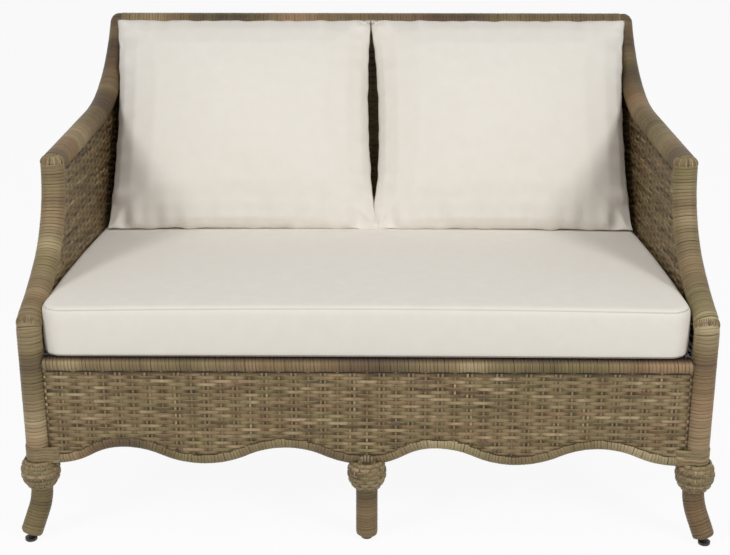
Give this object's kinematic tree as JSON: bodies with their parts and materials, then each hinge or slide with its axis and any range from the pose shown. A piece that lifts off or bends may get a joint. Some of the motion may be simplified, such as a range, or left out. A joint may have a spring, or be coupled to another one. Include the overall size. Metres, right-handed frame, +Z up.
{
  "type": "patio loveseat",
  "caption": "Low two-seat outdoor sofa with swept arms, scalloped woven skirt, ball-topped legs, a boxed seat cushion and loose back pillows.",
  "frame": {"origin": "on the floor, under the middle of the overall width and depth", "axes": "+X towards the right end as seen from the front, -Y towards the front, +Z up"},
  "size_m": [1.3762, 0.8878, 0.938],
  "materials": {
    "frame_tube": "powder coated, matte",
    "resin_strand": "flat resin strand, mottled brown and sand, slight sheen",
    "glide": "moulded",
    "cushion_cover": "woven outdoor fabric, ivory",
    "cushion_filling": "foam and fibre"
  },
  "bodies": {
    "frame": {"apron_panel_front": "resin_strand", "arm_post_tube_left": "frame_tube", "arm_post_tube_right": "frame_tube", "arm_post_wrap_left": "resin_strand", "arm_post_wrap_right": "resin_strand", "arm_rail_tube_left": "frame_tube", "arm_rail_tube_right": "frame_tube", "arm_rail_wrap_left": "resin_strand", "arm_rail_wrap_right": "resin_strand", "back_panel": "resin_strand", "back_rail_tube": "frame_tube", "back_rail_wrap": "resin_strand", "deck_tubes": "frame_tube", "front_post_tube_left": "frame_tube", "front_post_tube_right": "frame_tube", "front_post_wrap_left": "resin_strand", "front_post_wrap_right": "resin_strand", "glides": "glide", "leg_knob_front_left": "resin_strand", "leg_knob_front_middle": "resin_strand", "leg_knob_front_right": "resin_strand", "leg_knob_rear_left": "resin_strand", "leg_knob_rear_middle": "resin_strand", "leg_knob_rear_right": "resin_strand", "leg_wrap_front_left": "resin_strand", "leg_wrap_front_middle": "resin_strand", "leg_wrap_front_right": "resin_strand", "leg_wrap_rear_left": "resin_strand", "leg_wrap_rear_middle": "resin_strand", "leg_wrap_rear_right": "resin_strand", "middle_brace_front": "frame_tube", "middle_brace_rear": "frame_tube", "middle_leg_tube_front": "frame_tube", "middle_leg_tube_rear": "frame_tube", "rear_post_tube_left": "frame_tube", "rear_post_tube_right": "frame_tube", "rear_post_wrap_left": "resin_strand", "rear_post_wrap_right": "resin_strand", "scallop_rod_front": "frame_tube", "scallop_rod_left": "frame_tube", "scallop_rod_rear": "frame_tube", "scallop_rod_right": "frame_tube", "scallop_wrap_front": "resin_strand", "scallop_wrap_left": "resin_strand", "scallop_wrap_rear": "resin_strand", "scallop_wrap_right": "resin_strand", "seat_deck": "resin_strand", "seat_rail_tube_front": "frame_tube", "seat_rail_tube_left": "frame_tube", "seat_rail_tube_rear": "frame_tube", "seat_rail_tube_right": "frame_tube", "seat_rail_wrap_front": "resin_strand", "side_panel_left": "resin_strand", "side_panel_right": "resin_strand"},
    "seat_cushion": {"seat_cushion_cover": "cushion_cover", "seat_cushion_foam": "cushion_filling"},
    "back_cushion_left": {"back_cushion_cover_left": "cushion_cover", "back_cushion_filling_left": "cushion_filling"},
    "back_cushion_right": {"back_cushion_cover_right": "cushion_cover", "back_cushion_filling_right": "cushion_filling"}
  },
  "joints": [
    {"name": "seat_cushion_slide", "type": "slide", "parent": "frame", "child": "seat_cushion", "axis": [0, -1, 0], "range_m": [0, 0.25]},
    {"name": "back_cushion_left_lift", "type": "slide", "parent": "frame", "child": "back_cushion_left", "axis": [0, 0, 1], "range_m": [0, 0.3]},
    {"name": "back_cushion_right_lift", "type": "slide", "parent": "frame", "child": "back_cushion_right", "axis": [0, 0, 1], "range_m": [0, 0.3]}
  ]
}
